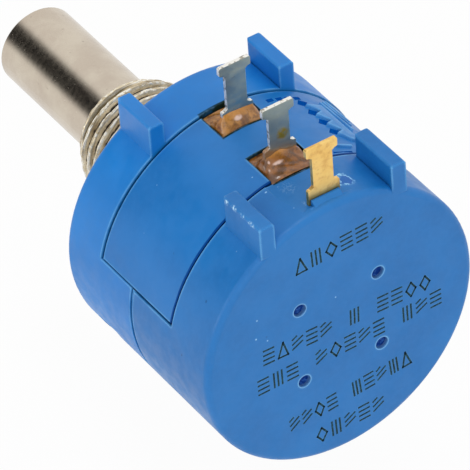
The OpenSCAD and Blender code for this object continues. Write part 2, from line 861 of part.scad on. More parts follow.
// Slot of the rotor, with a groove in each side for the carriage's tongues
module rotor_slot() {
    width = carriage_width + 2 * carriage_clearance;
    groove_bottom = slot_floor + tongue_rise - carriage_clearance;
    groove_top = slot_floor + tongue_rise + tongue_height + carriage_clearance;
    block(width, slot_floor, 2 * body_radius, slot_front, slot_rear);
    block(width + 2 * tongue_width, groove_bottom, groove_top, slot_front, slot_rear);
}

module rotor() {
    color(dark_plastic) placed()
        difference() {
            union() {
                disc(rotor_front, rotor_rear, rotor_radius);
                disc(rotor_front, slot_front, rotor_flange_radius);
                disc(slot_rear, rotor_rear, rotor_flange_radius);
            }
            disc(rotor_front - past, rotor_rear + past, rotor_seat_radius + seat_clearance);
            disc(rotor_front - past, land_rear, rotor_recess_diameter / 2);
            rotor_slot();
            block(strip_width + 2 * seat_clearance, slot_floor, strip_top + seat_clearance,
                slot_rear - past, rotor_rear + past);
            block(strip_width + 2 * seat_clearance, slip_ring_outer, strip_top,
                rotor_rear - strip_thickness - seat_clearance, rotor_rear + past);
            tube(slip_ring_front, rotor_rear + past, slip_ring_outer + seat_clearance,
                slip_ring_inner - seat_clearance);
        }
}

// Strip on the slot's floor that turns down over the rotor's rear end, to the slip ring
module collector_strip() {
    color(gold) placed()
        difference() {
            union() {
                block(strip_width, slot_floor, strip_top, slot_front, rotor_rear);
                block(strip_width, slip_ring_outer, strip_top, rotor_rear - strip_thickness, rotor_rear);
            }
            disc(slot_rear, rotor_rear + past, slip_ring_outer + seat_clearance);
        }
}

module slip_ring() {
    color(gold) placed()
        tube(slip_ring_front, rotor_rear, slip_ring_outer, slip_ring_inner);
}

// Spring finger bent from the rear terminal's stem to the slip ring
module collector_brush() {
    face = rear_terminal_depth - terminal_thickness / 2;
    tip = rotor_rear + contact_clearance;
    color(spring_bronze) placed()
        rotate([0, -90, 0])
            translate([0, 0, -brush_width / 2])
                linear_extrude(brush_width)
                    polygon([
                        [-face, brush_top], [-face, stem_end], [-tip - brush_thickness, slip_ring_middle],
                        [-tip, slip_ring_middle - brush_bend], [-tip, slip_ring_middle + brush_bend / 2],
                        [-face + brush_thickness, stem_end + brush_bend],
                        [-face + brush_thickness, brush_top]
                    ]);
}

module wiper_carriage() {
    front = carriage_depth - carriage_length / 2;
    rear = carriage_depth + carriage_length / 2;
    color(dark_plastic) placed() {
        block(carriage_width, carriage_bottom, carriage_top, front, rear);
        block(carriage_width + 2 * (tongue_width - carriage_clearance),
            slot_floor + tongue_rise, slot_floor + tongue_rise + tongue_height, front, rear);
    }
}

// Plate on the carriage with a shoe notched to straddle one turn of the element
module wiper_contact() {
    plate_half = carriage_length / 2;
    plate_top = carriage_top + contact_plate_thickness;
    shoe_half = contact_shoe_length / 2;
    notch_half = shoe_top - notch_bottom;
    color(spring_bronze) placed()
        translate([0, 0, -carriage_depth])
            rotate([0, -90, 0])
                translate([0, 0, -contact_width / 2])
                    linear_extrude(contact_width)
                        polygon([
                            [-plate_half, carriage_top], [-plate_half, plate_top], [-shoe_half, plate_top],
                            [-shoe_half, shoe_top], [-notch_half, shoe_top], [0, notch_bottom],
                            [notch_half, shoe_top], [shoe_half, shoe_top], [shoe_half, plate_top],
                            [plate_half, plate_top], [plate_half, carriage_top]
                        ]);
}

// Bowed leaf under the carriage that rides on the collector strip
module carriage_brush() {
    half = carriage_length / 2 - brush_thickness;
    foot_half = brush_foot / 2;
    low = strip_top + contact_clearance;
    color(spring_bronze) placed()
        translate([0, 0, -carriage_depth])
            rotate([0, -90, 0])
                translate([0, 0, -brush_width / 2])
                    linear_extrude(brush_width)
                        polygon([
                            [-half, carriage_bottom], [-half, carriage_bottom - brush_thickness],
                            [-foot_half, low], [foot_half, low],
                            [half, carriage_bottom - brush_thickness], [half, carriage_bottom]
                        ]);
}

front_cover();
rear_cover();
element_housing();
threaded_bushing();
resistance_element();
front_terminal();
middle_terminal();
rear_terminal();
front_potting();
middle_potting();
front_element_lead();
rear_element_lead();
collector_brush();
shaft();
retaining_ring();
thrust_washer();
rotor();
collector_strip();
slip_ring();
wiper_carriage();
wiper_contact();
carriage_brush();
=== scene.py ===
import math
import random

import bpy
from mathutils import Matrix, Vector


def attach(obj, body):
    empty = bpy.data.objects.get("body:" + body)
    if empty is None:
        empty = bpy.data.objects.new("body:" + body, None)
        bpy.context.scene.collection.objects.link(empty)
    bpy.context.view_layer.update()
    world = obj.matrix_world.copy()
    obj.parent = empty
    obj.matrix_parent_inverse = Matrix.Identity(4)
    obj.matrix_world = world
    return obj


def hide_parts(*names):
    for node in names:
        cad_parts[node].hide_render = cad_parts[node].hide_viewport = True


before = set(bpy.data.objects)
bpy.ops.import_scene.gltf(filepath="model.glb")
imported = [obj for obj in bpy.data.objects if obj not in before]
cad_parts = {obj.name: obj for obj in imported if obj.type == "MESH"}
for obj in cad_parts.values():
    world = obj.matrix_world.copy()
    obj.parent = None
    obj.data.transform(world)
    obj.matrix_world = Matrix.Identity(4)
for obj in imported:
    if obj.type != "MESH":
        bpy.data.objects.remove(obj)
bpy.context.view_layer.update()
SEED = 7
MM = 0.001

# Sizes that repeat the part's source, in millimetres
PANEL_RADIUS = 11.01
BODY_DEPTH = 19.05
RIM_DEPTH = 1.2
THREAD_RADIUS = 4.7625
THREAD_PITCH = 0.79375
THREAD_LENGTH = 8.25
LEAD_IN_LENGTH = 1.4
LEAD_IN_DEPTH = 0.75
MOUTH_CHAMFER = 0.2
NOSE_LENGTH = 0.16
THREAD_PHASE = 0.35
BORE_RADIUS = 3.2
COLLAR_RADIUS = 5.5
FLANGE_RADIUS = 7.0
FLANGE_FRONT = 1.9
FLANGE_REAR = 3.2
REAR_SEAM = 14.25
DIMPLE_OFFSET = 3.25
DIMPLE_RADIUS = 0.5


def place(x, depth, height):
    """Point of the part's frame from millimetres across, behind the mounting face and above the axis."""
    return Vector((x * MM, depth * MM, height * MM))


# Camera, fitted to the photograph
CAMERA_RIGHT = Vector((-0.82984, 0.55480, -0.05971))
CAMERA_DOWN = Vector((0.40007, 0.51696, -0.75676))
CAMERA_FORWARD = Vector((-0.38898, -0.65188, -0.65095))
CAMERA_AT = place(155.122, 264.548 + RIM_DEPTH, 258.898)
CAMERA_LENS = 433.35


def make_camera():
    data = bpy.data.cameras.new("camera")
    data.sensor_width = 36.0
    data.lens = CAMERA_LENS
    data.clip_start = 0.01
    data.clip_end = 20.0
    camera = bpy.data.objects.new("camera", data)
    bpy.context.scene.collection.objects.link(camera)
    turn = Matrix((CAMERA_RIGHT, -CAMERA_DOWN, -CAMERA_FORWARD)).transposed().to_4x4()
    camera.matrix_world = Matrix.Translation(CAMERA_AT) @ turn
    bpy.context.scene.camera = camera


make_camera()
bpy.context.scene.view_settings.view_transform = "Standard"


# Node helpers
class Shader:
    """A material's nodes, with short calls for the ones used here."""

    def __init__(self, name):
        self.material = bpy.data.materials.new(name)
        self.material.use_nodes = True
        self.tree = self.material.node_tree
        self.bsdf = self.tree.nodes["Principled BSDF"]
        self.coords = self.tree.nodes.new("ShaderNodeTexCoord").outputs["Object"]

    def link(self, a, b):
        self.tree.links.new(a, b)

    def node(self, kind, **values):
        made = self.tree.nodes.new(kind)
        for name, value in values.items():
            setattr(made, name, value)
        return made

    def feed(self, socket, value):
        if isinstance(value, bpy.types.NodeSocket):
            self.link(value, socket)
        else:
            socket.default_value = value

    def axes(self):
        """The part's three coordinates in millimetres."""
        split = self.node("ShaderNodeSeparateXYZ")
        self.link(self.coords, split.inputs[0])
        return [self.math("MULTIPLY", split.outputs[name], 1000.0) for name in ("X", "Y", "Z")]

    def hypotenuse(self, a, b):
        return self.math("SQRT", self.math("ADD", self.math("MULTIPLY", a, a), self.math("MULTIPLY", b, b)))

    def mapped(self, scale, location=(0, 0, 0), rotation=(0, 0, 0)):
        made = self.node("ShaderNodeMapping")
        self.link(self.coords, made.inputs["Vector"])
        made.inputs["Scale"].default_value = scale
        made.inputs["Location"].default_value = location
        made.inputs["Rotation"].default_value = rotation
        return made.outputs["Vector"]

    def noise(self, scale, detail=3.0, rough=0.5, vector=None, distortion=0.0):
        made = self.node("ShaderNodeTexNoise")
        self.link(vector or self.coords, made.inputs["Vector"])
        made.inputs["Scale"].default_value = scale
        made.inputs["Detail"].default_value = detail
        made.inputs["Roughness"].default_value = rough
        made.inputs["Distortion"].default_value = distortion
        return made.outputs["Fac"]

    def span(self, value, low, high, to_low=0.0, to_high=1.0):
        made = self.node("ShaderNodeMapRange")
        made.clamp = True
        made.interpolation_type = "SMOOTHSTEP"
        self.link(value, made.inputs["Value"])
        numbers = {"From Min": low, "From Max": high, "To Min": to_low, "To Max": to_high}
        for name, number in numbers.items():
            made.inputs[name].default_value = number
        return made.outputs["Result"]

    def math(self, operation, a, b=0.0):
        made = self.node("ShaderNodeMath", operation=operation)
        self.feed(made.inputs[0], a)
        self.feed(made.inputs[1], b)
        return made.outputs[0]

    def mix(self, factor, a, b):
        made = self.node("ShaderNodeMix", data_type="RGBA")
        self.feed(made.inputs["Factor"], factor)
        for socket, value in ((made.inputs[6], a), (made.inputs[7], b)):
            self.feed(socket, value if isinstance(value, bpy.types.NodeSocket) else (*value, 1.0))
        return made.outputs[2]

    def bump(self, height, distance, strength=1.0, normal=None):
        made = self.node("ShaderNodeBump")
        self.link(height, made.inputs["Height"])
        made.inputs["Distance"].default_value = distance
        made.inputs["Strength"].default_value = strength
        if normal is not None:
            self.link(normal, made.inputs["Normal"])
        return made.outputs["Normal"]

    def rounded(self, radius):
        """Normal that reads as a small radius on the edges."""
        made = self.node("ShaderNodeBevel", samples=6)
        made.inputs["Radius"].default_value = radius
        return made.outputs["Normal"]

    def blob(self, centre, size, soft=0.5):
        """Soft spot, 1 inside and 0 outside, at a point of the part's frame."""
        moved = self.mapped(
            tuple(1 / max(s * MM, 1e-9) for s in size),
            tuple(-c * MM / max(s * MM, 1e-9) for c, s in zip(centre, size)),
        )
        length = self.node("ShaderNodeVectorMath", operation="LENGTH")
        self.link(moved, length.inputs[0])
        return self.span(length.outputs["Value"], 1.0 - soft, 1.0, 1.0, 0.0)

    def crevice(self, distance, low=0.15, high=0.75):
        """Share of open air round a point, 0 in a narrow seam and 1 on an open face."""
        made = self.node("ShaderNodeAmbientOcclusion", samples=8)
        made.inputs["Distance"].default_value = distance
        return self.span(made.outputs["AO"], low, high)

    def edges(self, distance):
        """1 on convex edges and 0 on flat faces, from how soon the solid ends below the face."""
        made = self.node("ShaderNodeAmbientOcclusion", samples=6, inside=True)
        made.inputs["Distance"].default_value = distance
        return self.span(made.outputs["AO"], 0.55, 0.9, 1.0, 0.0)

    def facing(self, axis):
        """Share by which a face looks along an axis, either way."""
        plain = self.node("ShaderNodeNewGeometry")
        parts = self.node("ShaderNodeSeparateXYZ")
        self.link(plain.outputs["True Normal"], parts.inputs[0])
        return self.span(self.math("ABSOLUTE", parts.outputs[axis]), 0.6, 0.8)

    def box(self, centre, half, soft=0.1):
        """1 inside a box of the part's frame and 0 outside it."""
        moved = self.mapped(tuple(1 / (h * MM) for h in half), tuple(-c / h for c, h in zip(centre, half)))
        away = self.node("ShaderNodeVectorMath", operation="ABSOLUTE")
        self.link(moved, away.inputs[0])
        parts = self.node("ShaderNodeSeparateXYZ")
        self.link(away.outputs["Vector"], parts.inputs[0])
        most = self.math("MAXIMUM", parts.outputs["Y"], parts.outputs["Z"])
        most = self.math("MAXIMUM", parts.outputs["X"], most)
        return self.span(most, 1.0 - soft, 1.0, 1.0, 0.0)

    def finish(self, colour, roughness, normal, metallic=0.0, **constants):
        self.feed(self.bsdf.inputs["Base Color"], colour)
        self.feed(self.bsdf.inputs["Roughness"], roughness)
        self.link(normal, self.bsdf.inputs["Normal"])
        self.feed(self.bsdf.inputs["Metallic"], metallic)
        for name, value in constants.items():
            self.bsdf.inputs[name.replace("_", " ")].default_value = value
        return self.material


def srgb(r, g, b):
    """Linear colour from the 0 to 255 numbers of a display."""
    return tuple(
        (c / 255 / 12.92 if c / 255 <= 0.04045 else ((c / 255 + 0.055) / 1.055) ** 2.4) for c in (r, g, b)
    )


# Materials
# Middle, half size and softness of the area round the tongue, whose edges get no painted edge highlight
TONGUE_AREA = ((0, 18.2, 10.6), (2.2, 1.2, 1.4), 0.15)
# Middle and half size of the boxes in which the windows' walls get a dark green painted shade
WINDOW_WALL_SHADE = [((0, 6.85, 11.2), (2.0, 1.66, 0.9)), ((0, 12.85, 11.2), (1.96, 1.80, 0.9))]
# Place across and depth of the ring of scuffing and painted highlight, and the height it starts at
CURL_X, CURL_DEPTH, CURL_HEIGHT = -2.2, 17.2, 9.0


def dimpled(s, colour):
    """Dark floors of painted shade and light rims of painted highlight for the dimples of the rear wall."""
    x, y, z = s.axes()
    across = s.math("SUBTRACT", s.math("ABSOLUTE", x), DIMPLE_OFFSET)
    upward = s.math("SUBTRACT", s.math("ABSOLUTE", z), DIMPLE_OFFSET)
    away = s.math("ADD", s.hypotenuse(across, upward), s.span(y, 18.5, 18.6, 5.0, 0.0))
    rim = s.span(away, DIMPLE_RADIUS + 0.04, DIMPLE_RADIUS + 0.10, 0.6, 0.0)
    floor = s.mix(s.span(s.noise(4200.0, 2.0, 0.6), 0.4, 0.7), srgb(14, 52, 128), srgb(40, 92, 170))
    colour = s.mix(rim, colour, srgb(142, 192, 234))
    return s.mix(s.span(away, DIMPLE_RADIUS - 0.03, DIMPLE_RADIUS + 0.03, 1.0, 0.0), colour, floor)


def scuff_and_highlight_ring(s, colour):
    """Ring in the pocket, beside the rear terminal's foot: scuffing with a painted highlight on the
    pocket's corner edge, round a darker inside of painted shade.
    """
    x, y, z = s.axes()
    along = s.math("MULTIPLY", s.math("SUBTRACT", y, CURL_DEPTH), 0.7)
    away = s.hypotenuse(s.math("SUBTRACT", x, CURL_X), along)
    away = s.math("ADD", away, s.math("MULTIPLY", s.noise(1300.0, 3.0, 0.6), 1.1))
    upper = s.span(z, CURL_HEIGHT, CURL_HEIGHT + 0.2)
    inside = s.math("MULTIPLY", s.span(away, 0.88, 0.96, 0.7, 0.0), upper)
    ring = s.math("MULTIPLY", s.span(away, 0.88, 0.96), s.span(away, 1.02, 1.12, 1.0, 0.0))
    ring = s.math("MULTIPLY", ring, s.span(s.noise(2400.0, 2.0, 0.6), 0.40, 0.56, 0.15, 1.0))
    colour = s.mix(inside, colour, srgb(10, 90, 176))
    return s.mix(s.math("MULTIPLY", ring, upper), colour, srgb(150, 208, 248))


def rear_margin(s, colour):
    """Dark edge of the panel, in the shade of the rear cover's rim."""
    _, y, _ = s.axes()
    wander = s.math("MULTIPLY", s.noise(500.0, 2.0, 0.5), 0.10)
    shade = s.span(s.math("ADD", y, wander), REAR_SEAM - 0.16, REAR_SEAM - 0.08)
    return s.mix(shade, colour, srgb(4, 66, 140))


def blue_plastic(name, scuffs, specks, light, dark, below=(), above=(), no_edge_highlight=None):
    """Moulded plastic. below and above are details put on before and after the edges' painted highlight,
    which is partly wear.
    """
    s = Shader(name)
    broad = s.noise(230.0, 3.0, 0.55)
    fine = s.noise(2600.0, 2.0, 0.6)
    colour = s.mix(s.span(broad, 0.3, 0.7), srgb(*dark), srgb(*light))
    colour = s.mix(s.span(fine, 0.35, 0.75, 0.0, 0.25), colour, srgb(34, 122, 197))
    dots = s.span(s.noise(1100.0, 1.0, 0.4, s.mapped((1, 1, 1), (0.3, 5.2, 2.6))), 0.80, 0.83)
    colour = s.mix(s.math("MULTIPLY", dots, 0.5), colour, srgb(14, 58, 104))
    marks = s.span(s.noise(6600.0, 2.0, 0.6), 0.51, 0.57)
    for centre, size, strength in scuffs:
        near = s.blob(centre, size, 0.7)
        colour = s.mix(s.math("MULTIPLY", near, 0.22 * strength), colour, srgb(88, 160, 222))
        flakes_and_glints = s.math("MULTIPLY", s.math("MULTIPLY", near, marks), strength)
        colour = s.mix(flakes_and_glints, colour, srgb(196, 232, 252))
    for centre, size in specks:
        spot = s.math("MULTIPLY", s.blob(centre, (size, size * 0.7, size), 0.7), 0.85)
        colour = s.mix(spot, colour, srgb(160, 208, 242))
    # Painted highlight on convex edges, partly wear: a lighter blue that noise breaks up
    edge_highlight_and_wear = s.math("MULTIPLY", s.edges(0.00022), s.span(s.noise(700.0, 2.0, 0.5), 0.3, 0.6, 0.25, 0.75))
    if no_edge_highlight:
        edge_highlight_and_wear = s.math("MULTIPLY", edge_highlight_and_wear, s.math("SUBTRACT", 1.0, s.box(*no_edge_highlight)))
    for detail in below:
        colour = detail(s, colour)
    colour = s.mix(edge_highlight_and_wear, colour, srgb(104, 178, 234))
    for detail in above:
        colour = detail(s, colour)
    # Painted shade: the plastic is darker in seams and narrow gaps between the parts
    colour = s.mix(s.crevice(0.0005, 0.12, 0.5), srgb(4, 44, 108), colour)
    # Painted shade: the windows' walls go dark green, unevenly
    for centre, half in WINDOW_WALL_SHADE:
        uneven = s.span(s.noise(1500.0, 2.0, 0.6), 0.3, 0.6, 0.7, 1.0)
        wall_shade = s.math("MULTIPLY", s.box(centre, half, 0.06), uneven)
        colour = s.mix(wall_shade, colour, srgb(26, 46, 40))
    rough = s.span(s.noise(900.0, 3.0, 0.6), 0.3, 0.7, 0.36, 0.50)
    normal = s.bump(fine, 0.000006, 0.5, s.rounded(0.00006))
    normal = s.bump(s.noise(600.0, 2.0, 0.5), 0.00002, 0.25, normal)
    shine = s.node("ShaderNodeSeparateColor")
    s.link(colour, shine.inputs[0])
    s.link(s.span(shine.outputs["Green"], 0.05, 0.14, 0.04, 0.40), s.bsdf.inputs["Specular IOR Level"])
    return s.finish(colour, rough, normal)


def satin_metal(name, light, dark, rough_low, rough_high, streak_scale, bump=0.000003, pits=0.0):
    """Plated metal with fine marks. streak_scale stretches the marks along or round the part."""
    s = Shader(name)
    cloud = s.noise(420.0, 4.0, 0.6)
    streaks = s.noise(1.0, 4.0, 0.65, s.mapped(streak_scale))
    colour = s.mix(s.span(cloud, 0.3, 0.7), dark, light)
    colour = s.mix(s.span(streaks, 0.55, 0.8, 0.0, 0.35), colour, tuple(min(1.0, c * 1.12) for c in light))
    if pits:
        spots = s.span(s.noise(2600.0, 1.0, 0.4), 0.74, 0.78)
        colour = s.mix(s.math("MULTIPLY", spots, pits), colour, tuple(c * 0.45 for c in dark))
    rough = s.span(streaks, 0.3, 0.7, rough_low, rough_high)
    normal = s.bump(streaks, bump, 0.6, s.rounded(0.00003))
    return s, colour, rough, normal


def plain_metal(name, light, dark):
    """Even metal for the small pieces inside."""
    s, colour, rough, normal = satin_metal(name, light, dark, 0.24, 0.4, (900, 900, 900))
    return s.finish(colour, rough, normal, metallic=1.0)


def shaft_nickel(name):
    """Bright nickel with few dull specks."""
    s, colour, rough, normal = satin_metal(
        name, srgb(208, 197, 180), srgb(196, 183, 167), 0.20, 0.26, (2600, 5200, 2600), 0.0000012, 0.35)
    dull = s.span(s.noise(5200.0, 1.0, 0.5), 0.72, 0.78, 0.0, 0.42)
    rough = s.math("MAXIMUM", rough, dull)
    normal = s.bump(s.noise(7400.0, 2.0, 0.6), 0.000001, 0.5, normal)
    return s.finish(colour, rough, normal, metallic=1.0)


def bushing_nickel(name):
    """Nickel over brass, with painted shade and grime in the thread's grooves and painted highlights in
    flakes on its crests.
    """
    s, colour, rough, normal = satin_metal(
        name, srgb(240, 226, 196), srgb(204, 186, 150), 0.20, 0.36, (1500, 1500, 1500), 0.000006, 0.4)
    x, y, z = s.axes()
    lead_in = s.math("SUBTRACT", 1.0, s.math("DIVIDE", s.math("ADD", y, THREAD_LENGTH), LEAD_IN_LENGTH))
    lead_in = s.math("MULTIPLY", s.math("MAXIMUM", lead_in, 0.0), LEAD_IN_DEPTH)
    height = s.math("ADD", s.hypotenuse(x, z), lead_in)
    ragged = s.math("ADD", height, s.math("MULTIPLY", s.noise(2200.0, 3.0, 0.6), 0.3))
    clear = s.span(ragged, THREAD_RADIUS - 0.26, THREAD_RADIUS - 0.14)
    along = s.math("ADD", y, s.math("MULTIPLY", s.noise(1400.0, 2.0, 0.5), 0.14))
    # Painted shade: a dark crescent on the thread's first groove, near the mouth at the top
    start = s.math("MULTIPLY", s.span(along, -7.96, -7.88), s.span(along, -7.22, -7.1, 0.85, 0.0))
    start = s.math("MULTIPLY", start, s.math("MULTIPLY", s.span(x, -0.6, 0.8), s.span(z, 1.2, 1.6)))
    # Painted highlight on the crests, as bright flakes
    flakes_and_glints = s.span(s.noise(2600.0, 2.0, 0.6), 0.46, 0.56)
    flakes_and_glints = s.math("MULTIPLY", flakes_and_glints, s.span(height, THREAD_RADIUS - 0.16, THREAD_RADIUS - 0.08))
    colour = s.mix(flakes_and_glints, colour, srgb(252, 247, 232))
    lines = s.span(s.noise(1.0, 2.0, 0.5, s.mapped((450, 8000, 450))), 0.40, 0.50, 0.7, 0.0)
    colour = s.mix(lines, colour, srgb(136, 114, 80))
    colour = s.mix(start, colour, srgb(84, 74, 46))
    # Painted shade in the grooves, with grime: darker, rougher and less metallic below the crests
    colour = s.mix(clear, srgb(44, 32, 18), colour)
    rough = s.math("ADD", rough, s.math("MULTIPLY", s.math("SUBTRACT", 1.0, clear), 0.4))
    return s.finish(colour, rough, normal, metallic=s.span(clear, 0.0, 1.0, 0.1, 0.25))


def tinned(name, stain=None, film=0.0):
    """Tin plate: dull broad faces, a painted highlight on the edge faces broken by darker gaps, and a film
    of resin up to a height.
    """
    s, colour, rough, normal = satin_metal(
        name, srgb(211, 214, 190), srgb(182, 188, 172), 0.34, 0.5, (900, 900, 2200), 0.000008, 0.3)
    if stain:
        flux = s.math("MULTIPLY", s.blob(*stain), s.span(s.noise(1800.0, 3.0, 0.6), 0.35, 0.6, 0.3, 1.0))
        colour = s.mix(flux, colour, srgb(226, 178, 60))
    # Painted highlight: the plate's edge faces are near white with darker gaps; the broad faces keep the
    # plated colour
    broad = s.facing("Y")
    highlight_gaps = s.span(s.noise(2300.0, 2.0, 0.6), 0.52, 0.62, 0.0, 0.85)
    colour = s.mix(broad, s.mix(highlight_gaps, srgb(240, 238, 231), srgb(140, 132, 114)), colour)
    if film:
        x, _, z = s.axes()
        height = s.math("ADD", z, s.math("MULTIPLY", x, -0.22))
        height = s.math("ADD", height, s.math("MULTIPLY", s.noise(1500.0, 2.0, 0.5), 0.7))
        coated = s.span(height, film, film + 0.35, 0.85, 0.0)
        colour = s.mix(coated, colour, srgb(150, 96, 30))
        return s.finish(colour, rough, normal, metallic=s.span(coated, 0.0, 0.85, 1.0, 0.3))
    return s.finish(colour, rough, normal, metallic=s.span(broad, 0.0, 1.0, 0.7, 1.0))


def gold(name):
    """Mottled gold plate, darker towards the foot."""
    s, colour, rough, normal = satin_metal(
        name, srgb(252, 220, 144), srgb(242, 200, 118), 0.34, 0.50, (1300, 1300, 2200), 0.00001, 0.3)
    colour = s.mix(s.span(s.noise(1900.0, 3.0, 0.6), 0.45, 0.7, 0.0, 0.5), colour, srgb(206, 152, 84))
    low = s.box((0, 17.9, 10.6), (1.6, 1.0, 1.3), 0.5)
    colour = s.mix(s.math("MULTIPLY", low, 0.75), colour, srgb(126, 98, 42))
    return s.finish(colour, rough, normal, metallic=1.0)


def amber(name, light, dark, murk, painted_highlights):
    """Cast resin: murky and dark low down, orange where it thins out on the terminal, with painted
    highlights and painted shade in its crevices.
    """
    s = Shader(name)
    swirl = s.noise(900.0, 4.0, 0.6, distortion=0.9)
    colour = s.mix(s.span(swirl, 0.36, 0.64), dark, light)
    colour = s.mix(s.span(s.noise(2100.0, 3.0, 0.6), 0.48, 0.66, 0.0, 0.6), colour, murk)
    _, _, z = s.axes()
    colour = s.mix(s.span(z, 11.35, 11.85, 0.0, 0.8), colour, srgb(206, 138, 52))
    # Painted highlights: pinkish white patches where the resin's slope would mirror the lamp
    for centre, size in painted_highlights:
        uneven = s.span(s.noise(2400.0, 1.0, 0.5), 0.35, 0.5, 0.4, 0.9)
        glint = s.math("MULTIPLY", s.blob(centre, size, 0.6), uneven)
        colour = s.mix(glint, colour, srgb(232, 200, 186))
    # Painted shade: the resin is darker in crevices and where it meets walls and terminals
    colour = s.mix(s.crevice(0.0004, 0.2, 0.75), srgb(34, 38, 24), colour)
    rough = s.span(s.noise(1200.0, 2.0, 0.6), 0.35, 0.65, 0.20, 0.45)
    normal = s.bump(s.noise(760.0, 2.0, 0.5), 0.00009, 0.7)
    return s.finish(colour, rough, normal, Specular_IOR_Level=0.5, Coat_Weight=0.5, Coat_Roughness=0.07)


WINDING_TURNS = 420.0


def winding(name):
    """Fine wire wound round a core that is bent into a helix."""
    s = Shader(name)
    x, _, z = s.axes()
    angle = s.math("ARCTAN2", z, x)
    turns = s.math("SINE", s.math("MULTIPLY", angle, WINDING_TURNS))
    # Painted highlight and painted shade: each turn is lighter on its crest and darker between turns
    colour = s.mix(s.span(turns, -1.0, 1.0), srgb(120, 66, 36), srgb(206, 140, 92))
    colour = s.mix(s.span(s.noise(800.0), 0.4, 0.7, 0.0, 0.3), colour, srgb(150, 90, 60))
    return s.finish(colour, 0.34, s.bump(turns, 0.00002, 0.8), metallic=1.0)


def dark_moulding(name):
    s = Shader(name)
    colour = s.mix(s.span(s.noise(500.0, 4.0, 0.6), 0.35, 0.65), srgb(46, 44, 42), srgb(60, 57, 54))
    rough = s.span(s.noise(1500.0), 0.3, 0.7, 0.45, 0.62)
    return s.finish(colour, rough, s.bump(s.noise(3000.0), 0.00001, 0.4, s.rounded(0.00004)))


def ink_and_shade(name, dark, light, specular):
    s = Shader(name)
    colour = s.mix(s.span(s.noise(5200.0, 2.0, 0.7), 0.45, 0.7), dark, light)
    return s.finish(colour, 0.55, s.bump(s.noise(6000.0), 0.000004, 0.5), Specular_IOR_Level=specular)


# Middle and half size of scuffs, with their strength, and middle and radius of specks
SCUFFS_REAR = [
    ((6.1, 14.95, 11.8), (0.3, 0.45, 0.5), 1.0), ((6.05, 15.9, 11.8), (0.3, 0.45, 0.35), 1.0),
    ((6.1, 16.9, 11.8), (0.28, 0.5, 0.35), 1.0), ((6.1, 18.0, 11.8), (0.28, 0.6, 0.35), 0.9),
    # The fifth entry is a paler patch in the pocket; the sixth, beside the rear terminal's foot, is
    # scuffing with a painted highlight on the pocket's corner edge
    ((1.3, 15.4, 10.8), (0.8, 1.0, 0.4), 0.12), ((1.35, 17.6, 10.6), (0.25, 0.7, 0.4), 0.6),
]
SPECKS_REAR = [
    ((2.71, 14.86, 10.75), 0.13), ((1.78, 14.9, 10.76), 0.07), ((2.2, 17.5, 10.9), 0.06),
    ((6.6, 16.9, 8.9), 0.07), ((6.72, 19.05, 4.2), 0.09), ((0.3, 19.05, 2.9), 0.08),
    ((6.9, 19.05, 2.6), 0.1), ((6.0, 19.05, 2.0), 0.08), ((-1.6, 19.05, -5.9), 0.08),
]
SCUFFS_FRONT = [((5.9, 1.4, 11.8), (0.25, 0.4, 0.25), 0.3)]
SPECKS_FRONT = [((1.06, 1.25, 11.0), 0.09), ((9.0, 2.6, 6.4), 0.06), ((8.2, 3.9, 7.4), 0.06)]
SCUFFS_PANEL = [((0.0, 13.9, 11.0), (2.2, 0.3, 0.5), 0.25)]
SPECKS_PANEL = [((2.54, 12.92, 10.75), 0.1), ((9.07, 8.77, 6.32), 0.08), ((6.9, 7.4, 8.6), 0.06)]
# Middle and half size of the painted highlights on the resin and of the stain on the tin
RESIN_HIGHLIGHTS_FRONT = [((0.2, 7.78, 11.45), (0.42, 0.2, 0.3))]
RESIN_HIGHLIGHTS_MIDDLE = [((0.55, 13.14, 11.18), (0.55, 0.15, 0.3)), ((1.15, 12.95, 11.3), (0.12, 0.12, 0.3))]
FLUX_STAIN = ((-0.22, 12.75, 13.1), (0.6, 0.5, 0.62))

MATERIALS = {
    # The three blues differ partly as separate mouldings and partly as painted light: the front cover's is
    # lighter and the rear cover's darker to match how each is lit
    "front_cover": blue_plastic(
        "front_cover_plastic", SCUFFS_FRONT, SPECKS_FRONT, (26, 129, 212), (17, 119, 200)),
    "rear_cover": blue_plastic(
        "rear_cover_plastic", SCUFFS_REAR, SPECKS_REAR, (25, 117, 191), (18, 108, 180),
        below=(dimpled, scuff_and_highlight_ring), no_edge_highlight=TONGUE_AREA),
    "element_housing": blue_plastic(
        "element_housing_plastic", SCUFFS_PANEL, SPECKS_PANEL, (26, 119, 195), (19, 110, 184),
        above=(rear_margin,)),
    "threaded_bushing": bushing_nickel("bushing_nickel"),
    "shaft": shaft_nickel("shaft_nickel"),
    "front_terminal": tinned("front_terminal_tin"),
    "middle_terminal": tinned("middle_terminal_tin", FLUX_STAIN, 12.15),
    "rear_terminal": gold("rear_terminal_gold"),
    "front_element_lead": tinned("lead_tin"),
    "front_potting": amber(
        "front_resin", srgb(186, 128, 60), srgb(122, 74, 28), srgb(98, 62, 30), RESIN_HIGHLIGHTS_FRONT),
    "middle_potting": amber(
        "middle_resin", srgb(154, 96, 38), srgb(94, 54, 18), srgb(70, 44, 22), RESIN_HIGHLIGHTS_MIDDLE),
    "resistance_element": winding("winding_wire"),
    "rotor": dark_moulding("rotor_moulding"),
    "collector_brush": plain_metal("contact_bronze", srgb(222, 182, 128), srgb(190, 146, 92)),
    "retaining_ring": plain_metal("ring_steel", srgb(180, 182, 188), srgb(140, 143, 150)),
    "ink_and_shade": ink_and_shade("print_ink", srgb(14, 46, 52), srgb(34, 84, 104), 0.15),
    # Painted shade for the relief: dark blue plates in its notches, dashes and rear line
    "relief_shade": ink_and_shade("relief_shade", srgb(2, 72, 156), srgb(8, 90, 180), 0.0),
}
